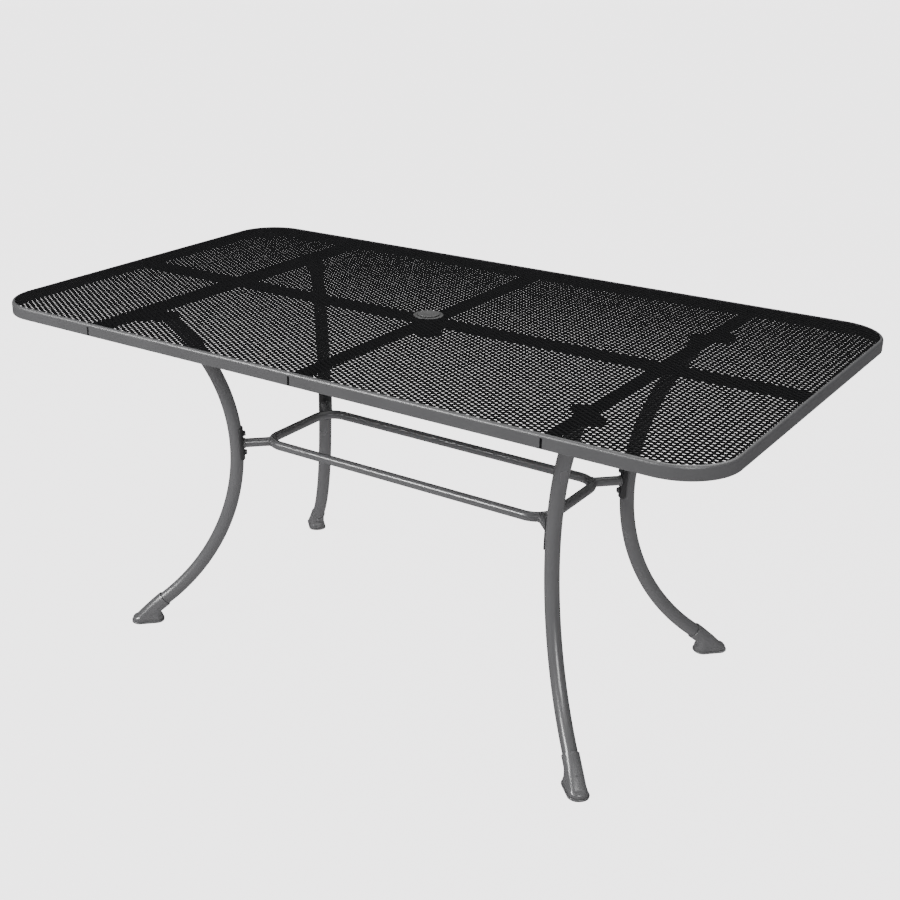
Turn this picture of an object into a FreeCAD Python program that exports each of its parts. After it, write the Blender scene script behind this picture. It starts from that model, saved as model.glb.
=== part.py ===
import FreeCAD, Part
import os
import re
import Sketcher

# Outdoor dining table with a hole for a parasol pole: a pierced sheet in a narrow
# rounded rim, flat cross bars on edge below it, four bowed tube legs in plastic
# shoes and a rounded stretcher ring half way up.
# Frame: origin on the floor below the middle of the top, X along the length,
# Y across the width, Z up. Millimetres and degrees.

os.makedirs("parts", exist_ok=True)
doc = FreeCAD.newDocument("Table")
sheet = doc.addObject("Spreadsheet::Sheet", "Sizes")
pieces = []

# Top and rim
table_length = 1600
table_width = 900
table_height = 740
table_corner = 103
rim_height = 25
rim_web = 2.5
rim_top = 6.5
rim_ledge = 10.5
rim_round = 5.5
ledge_drop = 4
ledge_thick = 2.5
seat_gap = 0.2
mesh_thick = 2
mesh_long = 19.82
mesh_short = 11.5
mesh_strand = 2.6
mesh_scale = 10

# Cross bars
bar_thick = 4
bar_height = 20
bar_side_offset = 0.4
slot_gap = 0.3

# Parasol hole
sleeve_radius = 27
sleeve_wall = 2
sleeve_length = 38
bush_wall = 4.8
bush_flange = 30.75
flange_thick = 1.4
pocket_wall = 3.3
pocket_deep = 8
cap_radius = 22.5
cap_thick = 2.3
cap_gap = 0.3
spigot_wall = 2

# Legs
leg_radius = 15
leg_wall = 1.5
leg_head_depth = 13.2
leg_end_height = 22.5
leg_angle = 45
leg_upper_angle = 49
leg_lower_angle = 52
leg_tail_length = 59
leg_runs = 13
plate_length = 88
plate_width = 40
plate_thick = 3
plate_back_offset = 41
plate_corner = 6
screw_outer_offset = 72
screw_outer_side = 10
screw_inner_offset = 48
screw_inner_side = 12

# Screws
screw_radius = 3
screw_flats = 10
screw_head = 4
screw_length = 14
screw_gap = 0.1
hole_gap = 0.3
nut_thick = 5

# Shoes
shoe_wall = 2.3
shoe_gap = 0.2
tail_bare_length = 12
shoe_end_length = 95
sole_back_length = 31
sole_front_length = 37
sole_width = 37
sole_corner = 16
sole_thick = 4
sole_lip = 1
sole_height = 14

# Stretcher
ring_length = 695
ring_width = 229
ring_corner = 45
ring_rise_height = 18
ring_radius = 10
ring_wall = 1.5
vent_radius = 4
stub_reach = 80
saddle_height = 72
saddle_thick = 3
saddle_angle = 60
bolt_rise = 22
bolt_length = 16

# Every size above gets a row and an alias in the sheet, and the features are tied to those
names = []
for name, amount in list(globals().items()):
    if isinstance(amount, (int, float)):
        names.append(name)
        sheet.set("A%d" % len(names), name)
        sheet.set("B%d" % len(names), str(amount))
        sheet.setAlias("B%d" % len(names), name)
doc.recompute()


HEAD_TURN = "(leg_upper_angle * 1 deg)"
FOOT_TURN = "(leg_lower_angle * 1 deg)"
BEND_RISE = "(table_height - leg_head_depth - leg_end_height - leg_tail_length * cos(%s))" % FOOT_TURN
BEND = "(ring_corner + stub_reach)"
LEG_X = "(ring_length / 2 - ring_corner + %s * cos(leg_angle * 1 deg))" % BEND
LEG_Y = "(ring_width / 2 - ring_corner + %s * sin(leg_angle * 1 deg))" % BEND

# Sizes that follow from others: the legs' bend fits between table and floor, the plates, the
# stretcher and the soles sit where the legs are, and the cross bars run between the screws
follows = {
    "leg_bend": "(%s / (sin(%s) + sin(%s)))" % (BEND_RISE, HEAD_TURN, FOOT_TURN),
    "leg_middle": "(leg_end_height + leg_tail_length * cos(%s) + leg_bend * sin(%s))"
    % (FOOT_TURN, FOOT_TURN),
    "leg_foot": "(leg_bend - leg_bend * cos(%s) + leg_tail_length * sin(%s))" % (FOOT_TURN, FOOT_TURN),
    "plate_start": "(leg_bend - leg_bend * cos(%s) - plate_back_offset)" % HEAD_TURN,
    "screw_outer_along": "(plate_start + screw_outer_offset)",
    "screw_outer_across": "(-screw_outer_side)",
    "screw_inner_along": "(plate_start + screw_inner_offset)",
    "screw_inner_across": "screw_inner_side",
    "screw_middle": "((screw_outer_along + screw_inner_along) / 2)",
    "bar_place": "(%s + screw_middle * cos(leg_angle * 1 deg) + bar_side_offset)" % LEG_X,
    "sole_start": "(leg_foot - sole_back_length)",
    "sole_end": "(leg_foot + sole_front_length)",
    "ring_height": "(leg_middle + ring_rise_height)",
}


def worded(text):
    """Turns the names in a formula into what they follow from and references to the sheet."""
    for name in reversed(follows):
        text = re.sub(r"\b%s\b" % name, follows[name], text)
    return re.sub(r"\b(%s)\b" % "|".join(names), r"Sizes.\1", text)


def value(text):
    """Number that a formula of sheet names has now."""
    result = sheet.evalExpression(worded(text))
    return float(getattr(result, "Value", result))


def bind(thing, where, text):
    """Ties a property to a formula of sheet names."""
    thing.setExpression(where, worded(text))


# Formulas that several pieces share
HALF_LENGTH = "(table_length / 2)"
HALF_WIDTH = "(table_width / 2)"
LEDGE_TOP = "(table_height - ledge_drop)"
LEDGE_BOTTOM = "(table_height - ledge_drop - ledge_thick)"
MESH_TOP = "(table_height - ledge_drop + mesh_thick)"
BAR_BOTTOM = "(table_height - ledge_drop - bar_height)"
BRACKET_BOTTOM = "(table_height - ledge_drop - bar_height - plate_thick)"
FLANGE_BOTTOM = "(table_height - ledge_drop - bar_height - 2 * plate_thick)"
SLEEVE_BOTTOM = "(table_height - ledge_drop + mesh_thick - sleeve_length)"
SADDLE_RADIUS = "(leg_radius + seat_gap + saddle_thick)"


def turned(x, y, z, angle):
    """Placement at the origin, turned about an axis."""
    return FreeCAD.Placement(FreeCAD.Vector(0, 0, 0), FreeCAD.Rotation(FreeCAD.Vector(x, y, z), angle))


def body(name):
    """Empty body ready for sketches."""
    thing = doc.addObject("PartDesign::Body", name)
    doc.recompute()
    return thing


def keep(thing, label):
    """Marks an object as a finished piece."""
    thing.Label = label
    pieces.append(thing)
    return thing


def sketch_on(owner, name, role, lift="0"):
    """Sketch on an origin plane of its body, moved along the plane's normal."""
    plane = [item for item in owner.Origin.OriginFeatures if item.Role == role][0]
    sketch = owner.newObject("Sketcher::SketchObject", name)
    sketch.AttachmentSupport = [(plane, "")]
    sketch.MapMode = "FlatFace"
    bind(sketch, "AttachmentOffset.Base.z", lift)
    return sketch


def pin(sketch, shape, point, x, y):
    """Holds one point of a sketch at two formulas."""
    for kind, text in (("DistanceX", x), ("DistanceY", y)):
        rule = Sketcher.Constraint(kind, -1, 1, shape, point, value(text))
        bind(sketch, "Constraints[%d]" % sketch.addConstraint(rule), text)


def polygon(sketch, corners):
    """Closed outline through corners given by formulas."""
    first = sketch.GeometryCount
    spots = [FreeCAD.Vector(value(x), value(y), 0) for x, y in corners]
    count = len(spots)
    for index in range(count):
        sketch.addGeometry(Part.LineSegment(spots[index], spots[(index + 1) % count]))
    for index in range(count):
        rule = Sketcher.Constraint("Coincident", first + index, 2, first + (index + 1) % count, 1)
        sketch.addConstraint(rule)
        pin(sketch, first + index, 1, *corners[index])


def circle(sketch, x, y, radius):
    """Circle with its middle and radius given by formulas."""
    middle = FreeCAD.Vector(value(x), value(y), 0)
    shape = sketch.addGeometry(Part.Circle(middle, FreeCAD.Vector(0, 0, 1), value(radius)))
    pin(sketch, shape, 3, x, y)
    rule = sketch.addConstraint(Sketcher.Constraint("Radius", shape, value(radius)))
    bind(sketch, "Constraints[%d]" % rule, radius)


def rounded(sketch, half_x, half_y, corner, middle_x="0"):
    """Rectangle with four round corners: arcs and lines meet tangentially."""
    first = sketch.GeometryCount
    radius = value(corner)
    signs = ((1, 1), (-1, 1), (-1, -1), (1, -1))
    arcs = []
    for index, (right, up) in enumerate(signs):
        x = "%s + %d * (%s - %s)" % (middle_x, right, half_x, corner)
        y = "%d * (%s - %s)" % (up, half_y, corner)
        middle = FreeCAD.Vector(value(x), value(y), 0)
        whole = Part.Circle(middle, FreeCAD.Vector(0, 0, 1), radius)
        start = index * 1.5707963267948966
        arcs.append((x, y, sketch.addGeometry(Part.ArcOfCircle(whole, start, start + 1.5707963267948966))))
    for index in range(4):
        here = sketch.getPoint(first + index, 2)
        there = sketch.getPoint(first + (index + 1) % 4, 1)
        sketch.addGeometry(Part.LineSegment(here, there))
    for index in range(4):
        sketch.addConstraint(Sketcher.Constraint("Tangent", first + index, 2, first + 4 + index, 1))
        following = first + (index + 1) % 4
        sketch.addConstraint(Sketcher.Constraint("Tangent", first + 4 + index, 2, following, 1))
    for x, y, arc in arcs:
        pin(sketch, arc, 3, x, y)
        rule = sketch.addConstraint(Sketcher.Constraint("Radius", arc, radius))
        bind(sketch, "Constraints[%d]" % rule, corner)


def inset(sketch, inward):
    """Outline of the table top moved inward by a formula."""
    half_x = "(%s - %s)" % (HALF_LENGTH, inward)
    half_y = "(%s - %s)" % (HALF_WIDTH, inward)
    rounded(sketch, half_x, half_y, "(table_corner - %s)" % inward)


def grow(owner, kind, name, sketch, length, both=False, turned=False):
    """Pad or pocket of a sketch."""
    feature = owner.newObject("PartDesign::" + kind, name)
    feature.Profile = sketch
    feature.Midplane = both
    feature.Reversed = turned
    bind(feature, "Length", length)
    doc.recompute()
    return feature


def spin(owner, kind, name, sketch, axis):
    """Full turn of a sketch about an axis, added or removed."""
    feature = owner.newObject("PartDesign::" + kind, name)
    feature.Profile = sketch
    feature.ReferenceAxis = axis
    feature.Angle = 360
    doc.recompute()
    return feature


def corner_frame(thing):
    """Moves a piece from the plane of a leg to the back right corner."""
    thing.Placement = turned(0, 0, 1, 45)
    bind(thing, "Placement.Base.x", LEG_X)
    bind(thing, "Placement.Base.y", LEG_Y)
    bind(thing, "Placement.Rotation.Angle", "leg_angle")
    doc.recompute()


def mirrored(source, name, normal):
    """Mirror image of a piece in a middle plane of the table."""
    image = doc.addObject("Part::Mirroring", name)
    image.Source = source
    image.Normal = normal
    image.Base = FreeCAD.Vector(0, 0, 0)
    return image


def four_corners(source, stem):
    """The piece at the back right corner and its three mirror images."""
    across = mirrored(source, stem + "_back_left", FreeCAD.Vector(1, 0, 0))
    front = mirrored(source, stem + "_front_right", FreeCAD.Vector(0, 1, 0))
    both = mirrored(across, stem + "_front_left", FreeCAD.Vector(0, 1, 0))
    doc.recompute()
    return [source, across, front, both]


def keep_corners(source, stem):
    """The pieces of all four corners as separate solids of one node."""
    group = doc.addObject("Part::Compound", stem)
    group.Links = four_corners(source, stem + "_set")
    doc.recompute()
    keep(group, stem)


def keep_fasteners(sources, stem):
    """Two fasteners at each corner, placed in the plane of a leg."""
    pair = doc.addObject("Part::Compound", stem + "_pair")
    pair.Links = sources
    corner_frame(pair)
    keep_corners(pair, stem)


def build_rim():
    """Steel rim: web, rolled top edge and a ledge for the sheet, slotted for the bars."""
    rim = body("Rim")
    foot = "(table_height - rim_height)"
    outline = sketch_on(rim, "RimOutline", "XY_Plane", foot)
    inset(outline, "0")
    inset(outline, "rim_top")
    grow(rim, "Pad", "RimBlock", outline, "rim_height")
    hollow = sketch_on(rim, "RimHollow", "XY_Plane", foot)
    inset(hollow, "rim_web")
    grow(rim, "Pocket", "RimInside", hollow, "(rim_height - ledge_drop - ledge_thick)", turned=True)
    ledge = sketch_on(rim, "LedgeOutline", "XY_Plane", LEDGE_BOTTOM)
    inset(ledge, "rim_top")
    inset(ledge, "rim_ledge")
    shelf = grow(rim, "Pad", "Ledge", ledge, "ledge_thick")
    slot = sketch_on(rim, "SlotOutline", "XZ_Plane")
    left = "(-bar_place - bar_thick / 2 - slot_gap)"
    right = "(-bar_place + bar_thick / 2 + slot_gap)"
    low = "(%s - seat_gap)" % BAR_BOTTOM
    polygon(slot, ((left, low), (right, low), (right, LEDGE_BOTTOM), (left, LEDGE_BOTTOM)))
    cut = grow(rim, "Pocket", "Slot", slot, "(table_width + rim_height)", both=True)
    row = rim.newObject("PartDesign::LinearPattern", "SlotRow")
    row.Originals = [cut]
    row.Direction = ([item for item in rim.Origin.OriginFeatures if item.Role == "X_Axis"][0], [""])
    row.Occurrences = 3
    bind(row, "Length", "2 * bar_place")
    rim.Tip = row
    doc.recompute()
    top = value("table_height")
    half = value(HALF_LENGTH)
    edges = []
    for index, edge in enumerate(row.Shape.Edges):
        box = edge.BoundBox
        outer = max(abs(box.XMin), abs(box.XMax)) > half - value("table_corner") / 2
        outer = outer or max(abs(box.YMin), abs(box.YMax)) > value(HALF_WIDTH) - 0.01
        inner = max(abs(box.XMax), abs(box.XMin)) < half - value("rim_top") + 0.01
        inner = inner and max(abs(box.YMax), abs(box.YMin)) < value(HALF_WIDTH) - value("rim_top") + 0.01
        if abs(box.ZMin - top) < 0.01 and abs(box.ZMax - top) < 0.01 and outer and not inner:
            edges.append("Edge%d" % (index + 1))
    roll = rim.newObject("PartDesign::Fillet", "RolledEdge")
    roll.Base = (row, edges)
    bind(roll, "Radius", "rim_round")
    doc.recompute()
    keep(rim, "rim_frame")
    return shelf


def build_mesh():
    """Pierced sheet: staggered diamond openings, clipped at the border and the parasol hole."""
    scale = value("mesh_scale")
    half_long = value("mesh_long") * scale / 2
    half_short = value("mesh_short") * scale / 2
    across = half_long * half_short / (half_long ** 2 + half_short ** 2) ** 0.5
    shrink = 1 - value("mesh_strand") * scale / 2 / across
    edge = value("rim_top + seat_gap")
    low = value(LEDGE_TOP)

    def plate(inward):
        long_side = value("table_length") / 2 - inward
        wide_side = value("table_width") / 2 - inward
        corner = value("table_corner") - inward
        box = Part.makeBox(2 * long_side, 2 * wide_side, 1, FreeCAD.Vector(-long_side, -wide_side, low))
        uprights = [line for line in box.Edges if abs(line.BoundBox.ZLength - 1) < 1e-6]
        soft = box.makeFillet(corner, uprights)
        return [face for face in soft.Faces if abs(face.BoundBox.ZMax - low) < 1e-6][0]

    border = plate(edge + value("rim_ledge") - value("rim_top") + value("mesh_strand") * scale / 2)
    up = FreeCAD.Vector(0, 0, 1)
    ring = Part.Circle(FreeCAD.Vector(0, 0, low), up, value("bush_flange + mesh_strand"))
    border = border.cut(Part.Face(Part.Wire(ring.toShape())))
    border = border.Faces[0]
    whole = 2 * half_long * half_short * shrink ** 2
    holes = []
    columns = int(value("table_length") / 2 / half_long) + 1
    rows = int(value("table_width") / 2 / half_short) + 1
    for column in range(-columns, columns + 1):
        for line in range(-rows, rows + 1):
            if (column + line) % 2:
                continue
            middle = FreeCAD.Vector(column * half_long, line * half_short, low)
            wide = FreeCAD.Vector(half_long * shrink, 0, 0)
            tall = FreeCAD.Vector(0, half_short * shrink, 0)
            spots = [middle + wide, middle + tall, middle - wide, middle - tall, middle + wide]
            diamond = Part.Face(Part.makePolygon(spots))
            part = diamond.common(border)
            for face in part.Faces:
                if face.Area > 0.2 * whole:
                    holes.append(face.OuterWire)
    hole = Part.Circle(FreeCAD.Vector(0, 0, low), up, value("sleeve_radius + seat_gap"))
    wires = [plate(edge).OuterWire, Part.Wire(hole.toShape())] + holes
    face = Part.makeFace(wires, "Part::FaceMakerBullseye")
    solid = face.extrude(FreeCAD.Vector(0, 0, value("mesh_thick")))
    mesh = doc.addObject("Part::Feature", "Mesh")
    mesh.Shape = solid.Solids[0] if solid.Solids else solid
    mesh.Placement = FreeCAD.Placement()
    keep(mesh, "mesh_top")
    return len(holes)


def bar(name, label, role, corners):
    """Flat bar on edge, cut to a side view and centred on its plane."""
    strip = body(name)
    side = sketch_on(strip, name + "Side", role)
    polygon(side, corners)
    grow(strip, "Pad", name + "Thickness", side, "bar_thick", both=True)
    keep(strip, label)


def build_bars():
    """Cross bars: tabs in the rim slots, half-laps at the long bar, ends at the parasol sleeve."""
    low = BAR_BOTTOM
    high = LEDGE_TOP
    under = "(%s - seat_gap)" % LEDGE_BOTTOM
    tip = "(%s - seat_gap)" % HALF_WIDTH
    notch = "(%s - rim_ledge - slot_gap)" % HALF_WIDTH
    lap = "(bar_thick / 2 + seat_gap)"
    lap_floor = "(%s + bar_height / 2 - seat_gap)" % low
    lap_roof = "(%s + bar_height / 2 + seat_gap)" % low
    start = "(sleeve_radius + seat_gap)"
    for name, label, sign in (("LeftBar", "cross_bar_left", "-1"), ("RightBar", "cross_bar_right", "1")):
        strip = body(name)
        side = sketch_on(strip, name + "Side", "YZ_Plane", sign + " * bar_place")
        ends = ((tip, low), (tip, under), (notch, under), (notch, high), (lap, high), (lap, lap_floor))
        polygon(side, ends + tuple(("-" + y, z) for y, z in reversed(ends)))
        grow(strip, "Pad", name + "Thickness", side, "bar_thick", both=True)
        keep(strip, label)
    ends = ((start, low), (tip, low), (tip, under), (notch, under), (notch, high), (start, high))
    bar("BackBar", "cross_bar_back", "YZ_Plane", ends)
    bar("FrontBar", "cross_bar_front", "YZ_Plane", tuple(("-" + y, z) for y, z in ends))
    tip = "(%s - rim_web - seat_gap)" % HALF_LENGTH
    notch = "(%s - rim_ledge - slot_gap)" % HALF_LENGTH
    near = "(bar_place - bar_thick / 2 - seat_gap)"
    away = "(bar_place + bar_thick / 2 + seat_gap)"
    lower = ((start, low), (near, low), (near, lap_roof), (away, lap_roof), (away, low), (tip, low))
    ends = lower + ((tip, under), (notch, under), (notch, high), (start, high))
    bar("LongRight", "long_bar_right", "XZ_Plane", ends)
    bar("LongLeft", "long_bar_left", "XZ_Plane", tuple(("-" + x, z) for x, z in ends))


def turned_piece(name, label, corners):
    """Round piece on the middle axis, turned from its half section."""
    round_body = body(name)
    half = sketch_on(round_body, name + "Section", "XZ_Plane")
    polygon(half, corners)
    axis = [item for item in round_body.Origin.OriginFeatures if item.Role == "Z_Axis"][0]
    turn = spin(round_body, "Revolution", name + "Turn", half, (axis, [""]))
    keep(round_body, label)
    return round_body, turn


def soften(owner, base, radius, height, name, amount):
    """Breaks the circular edge at a radius and height of a turned piece."""
    edges = []
    for index, edge in enumerate(base.Shape.Edges):
        box = edge.BoundBox
        level = abs(box.ZMin - height) < 0.01 and abs(box.ZMax - height) < 0.01
        if level and abs(box.XMax - radius) < 0.01:
            edges.append("Edge%d" % (index + 1))
    bevel = owner.newObject("PartDesign::Chamfer", name)
    bevel.Base = (base, edges)
    bind(bevel, "Size", amount)
    doc.recompute()


def build_parasol_hole():
    """Steel sleeve between the bars, plastic bush with a flange, and the lift-out cap."""
    inner = "(sleeve_radius - sleeve_wall)"
    lower = ((inner, SLEEVE_BOTTOM), ("sleeve_radius", SLEEVE_BOTTOM))
    upper = (("sleeve_radius", MESH_TOP), (inner, MESH_TOP))
    turned_piece("Sleeve", "parasol_sleeve", lower + upper)
    outer = "(sleeve_radius - sleeve_wall - seat_gap)"
    bore = "(%s - bush_wall)" % outer
    wide = "(%s - pocket_wall)" % outer
    crown = "(%s + flange_thick)" % MESH_TOP
    floor = "(%s - pocket_deep)" % crown
    lower = ((bore, SLEEVE_BOTTOM), (outer, SLEEVE_BOTTOM), (outer, MESH_TOP), ("bush_flange", MESH_TOP))
    upper = (("bush_flange", crown), (wide, crown), (wide, floor), (bore, floor))
    bush, turn = turned_piece("Bush", "parasol_bush", lower + upper)
    soften(bush, turn, value("bush_flange"), value(crown), "FlangeEdge", "flange_thick / 2")
    spigot = "(%s - cap_gap)" % wide
    inside = "(%s - spigot_wall)" % spigot
    under = "(%s + cap_gap)" % crown
    foot = "(%s + 2 * cap_gap)" % floor
    roof = "(%s + cap_thick)" % under
    lower = (("0", under), (inside, under), (inside, foot), (spigot, foot), (spigot, under))
    upper = (("cap_radius", under), ("cap_radius", roof), ("0", roof))
    cap, turn = turned_piece("Cap", "parasol_cap", lower + upper)
    soften(cap, turn, value("cap_radius"), value(roof), "CapEdge", "cap_thick / 3")


# Turn of the leg's bend at the height of the stretcher
TILT = "asin(ring_rise_height / leg_bend)"


def stand_on_bend(thing, rise, radius):
    """Stands a piece on the inner side of the bent leg, its own Z away from the leg's axis."""
    thing.Placement = turned(0, -1, 0, 85)
    sizes = (radius, TILT, rise, TILT)
    bind(thing, "Placement.Base.x", "leg_bend - (leg_bend + %s) * cos(%s) + %s * sin(%s)" % sizes)
    bind(thing, "Placement.Base.z", "leg_middle + (leg_bend + %s) * sin(%s) + %s * cos(%s)" % sizes)
    bind(thing, "Placement.Rotation.Angle", "90 deg - %s" % TILT)


def lean_on_bend(thing):
    """Leans a piece of the stretcher with the leg, its own Z along the leg's axis."""
    thing.Placement = turned(0, 1, 0, 5)
    bind(thing, "Placement.Base.x", "leg_bend - leg_bend * cos(%s)" % TILT)
    bind(thing, "Placement.Base.z", "ring_height")
    bind(thing, "Placement.Rotation.Angle", TILT)


def drill(owner, name, rise):
    """Hole through the inner wall of the bent tube."""
    hole = owner.newObject("PartDesign::SubtractiveCylinder", name)
    bind(hole, "Radius", "screw_radius + hole_gap")
    bind(hole, "Height", "2 * leg_radius")
    stand_on_bend(hole, rise, "0")
    doc.recompute()


def runs(sketch, corners):
    """Open or closed chain of straight runs through corners given by formulas."""
    spots = [FreeCAD.Vector(value(x), value(y), 0) for x, y in corners]
    for here, there in zip(spots, spots[1:]):
        sketch.addGeometry(Part.LineSegment(here, there))
    last = len(spots) - 2
    for index in range(last):
        sketch.addConstraint(Sketcher.Constraint("Coincident", index, 2, index + 1, 1))
    for index in range(last + 1):
        pin(sketch, index, 1, *corners[index])
    pin(sketch, last, 2, *corners[-1])


def tube_along(owner, name, path, count, radius, kind="AdditivePipe"):
    """Round section carried along the runs of a path, mitred where they meet."""
    section = owner.newObject("Sketcher::SketchObject", name + "Section")
    section.AttachmentSupport = [(path, "Edge1")]
    section.MapMode = "NormalToEdge"
    section.MapPathParameter = 0
    circle(section, "0", "0", radius)
    doc.recompute()
    tube = owner.newObject("PartDesign::" + kind, name)
    tube.Profile = section
    tube.Spine = (path, ["Edge%d" % number for number in range(1, count + 1)])
    tube.Transition = "Right corner"
    doc.recompute()
    return tube


def build_legs():
    """Tube legs: one even bend, a straight tail in the shoe and a level cut at the top."""
    leg = body("Leg")
    path = sketch_on(leg, "LegPath", "XZ_Plane")
    step = "((%s + %s) / leg_runs)" % (HEAD_TURN, FOOT_TURN)
    reach = "(leg_bend / cos(%s / 2))" % step
    point = "leg_bend - %s * cos(%s)"
    rise = "leg_middle + %s * sin(%s)"
    head = ("leg_bend", HEAD_TURN)
    corners = [(point % head, rise % head)]
    count = int(value("leg_runs"))
    for number in range(count):
        spot = (reach, "(%s - %s * (%d + 0.5))" % (HEAD_TURN, step, number))
        corners.append((point % spot, rise % spot))
    corners.append(shoe_point("leg_tail_length", "0"))
    runs(path, corners)
    doc.recompute()
    tube_along(leg, "LegTube", path, count + 1, "leg_radius")
    tube_along(leg, "LegBore", path, count + 1, "(leg_radius - leg_wall)", "SubtractivePipe")
    level = sketch_on(leg, "LevelCut", "XY_Plane", FLANGE_BOTTOM)
    far = "3 * plate_length"
    low = (("0", "-plate_length"), (far, "-plate_length"))
    high = ((far, "plate_length"), ("0", "plate_length"))
    polygon(level, low + high)
    grow(leg, "Pocket", "LegTop", level, "plate_length", turned=True)
    drill(leg, "UpperHole", "bolt_rise")
    drill(leg, "LowerHole", "(-bolt_rise)")
    corner_frame(leg)
    keep_corners(leg, "legs")


def build_plate(name, stem, low):
    """Drilled plate with clipped corners at the head of a leg."""
    plate = body(name)
    outline = sketch_on(plate, name + "Outline", "XY_Plane", low)
    inner = "plate_start"
    outer = "(plate_start + plate_length)"
    side = "(plate_width / 2)"
    near = "(plate_start + plate_corner)"
    far = "(plate_start + plate_length - plate_corner)"
    short = "(plate_width / 2 - plate_corner)"
    upper = ((outer, short), (far, side), (near, side), (inner, short))
    lower = ((inner, "-" + short), (near, "-" + side), (far, "-" + side), (outer, "-" + short))
    polygon(outline, upper + lower)
    for spot in ("outer", "inner"):
        circle(outline, "screw_%s_along" % spot, "screw_%s_across" % spot, "(screw_radius + hole_gap)")
    grow(plate, "Pad", name + "Thickness", outline, "plate_thick")
    corner_frame(plate)
    keep_corners(plate, stem)


def hexagon(sketch):
    """Hexagon over the flats of the screws."""
    flat = "(screw_flats / 2)"
    far = "(screw_flats / sqrt(3))"
    near = "(screw_flats / sqrt(3) / 2)"
    upper = ((far, "0"), (near, flat), ("-" + near, flat))
    lower = (("-" + far, "0"), ("-" + near, "-" + flat), (near, "-" + flat))
    polygon(sketch, upper + lower)


def build_screw(name, length):
    """Hexagon screw: head above its origin, shank below."""
    screw = body(name)
    head = sketch_on(screw, name + "Head", "XY_Plane")
    hexagon(head)
    grow(screw, "Pad", name + "HeadPad", head, "screw_head")
    shank = sketch_on(screw, name + "Shank", "XY_Plane")
    circle(shank, "0", "0", "screw_radius")
    grow(screw, "Pad", name + "ShankPad", shank, length, turned=True)
    return screw


def build_nut(name):
    """Hexagon nut: its top face at the origin."""
    nut = body(name)
    outline = sketch_on(nut, name + "Outline", "XY_Plane")
    hexagon(outline)
    circle(outline, "0", "0", "(screw_radius + screw_gap)")
    grow(nut, "Pad", name + "Pad", outline, "nut_thick", turned=True)
    return nut


def build_leg_screws():
    """Two screws and nuts hold each leg plate under its bracket."""
    screws = []
    nuts = []
    for spot in ("Outer", "Inner"):
        word = spot.lower()
        screw = build_screw("LegScrew" + spot, "screw_length")
        nut = build_nut("LegNut" + spot)
        for thing, height in ((screw, BAR_BOTTOM), (nut, FLANGE_BOTTOM)):
            bind(thing, "Placement.Base.x", "screw_%s_along" % word)
            bind(thing, "Placement.Base.y", "screw_%s_across" % word)
            bind(thing, "Placement.Base.z", height)
        screws.append(screw)
        nuts.append(nut)
    keep_fasteners(screws, "leg_screws")
    keep_fasteners(nuts, "leg_nuts")


def shoe_point(along, across):
    """Point along and across the straight tail of a leg, in the plane of the leg."""
    x = "leg_bend - leg_bend * cos(%s) + (%s) * sin(%s) + (%s) * cos(%s)"
    z = "leg_middle - leg_bend * sin(%s) - (%s) * cos(%s) + (%s) * sin(%s)"
    places = (FOOT_TURN, along, FOOT_TURN, across, FOOT_TURN)
    return "(%s)" % (x % places), "(%s)" % (z % places)


def tail_round(owner, kind, name, start, end, radius):
    """Round length about the axis of the leg's tail, added or removed."""
    half = sketch_on(owner, name + "Section", "XZ_Plane")
    axis = (shoe_point(start, "0"), shoe_point(end, "0"))
    wall = (shoe_point(end, radius), shoe_point(start, radius))
    polygon(half, axis + wall)
    return spin(owner, kind, name, half, (half, ["Edge1"]))


def build_shoes():
    """Plastic shoe: a sleeve round the tail, cut off at the floor, on a flat sole with a lip."""
    shoe = body("Shoe")
    outer = "(leg_radius + shoe_gap + shoe_wall)"
    tail_round(shoe, "Revolution", "ShoeSleeve", "tail_bare_length", "shoe_end_length", outer)
    ground = sketch_on(shoe, "Ground", "XY_Plane")
    wide = "(3 * sole_width)"
    far = "(2 * sole_end)"
    polygon(ground, (("0", "-" + wide), (far, "-" + wide), (far, wide), ("0", wide)))
    grow(shoe, "Pocket", "FloorCut", ground, "plate_length")
    toe = sketch_on(shoe, "ToeOutline", "XY_Plane")
    polygon(toe, (("0", "-" + wide), (far, "-" + wide), (far, wide), ("0", wide)))
    middle = "((sole_end + sole_width) / 2)"
    rounded(toe, "((sole_end - sole_width) / 2)", "(sole_width / 2)", "sole_corner", middle)
    grow(shoe, "Pocket", "ToeCut", toe, "leg_bend", turned=True)
    half = "((sole_end - sole_start) / 2)"
    place = "((sole_end + sole_start) / 2)"
    block = sketch_on(shoe, "SoleOutline", "XY_Plane")
    rounded(block, half, "(sole_width / 2)", "sole_corner", place)
    grow(shoe, "Pad", "SoleBlock", block, "sole_height")
    lip = sketch_on(shoe, "LipOutline", "XY_Plane")
    rounded(lip, "(%s + sole_lip)" % half, "(sole_width / 2 + sole_lip)", "(sole_corner + sole_lip)", place)
    grow(shoe, "Pad", "SoleLip", lip, "sole_thick")
    inside = "(leg_radius + shoe_gap)"
    tail_round(shoe, "Groove", "ShoeBore", "0", "(leg_tail_length + shoe_gap)", inside)
    corner_frame(shoe)
    keep_corners(shoe, "foot_shoes")


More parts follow.
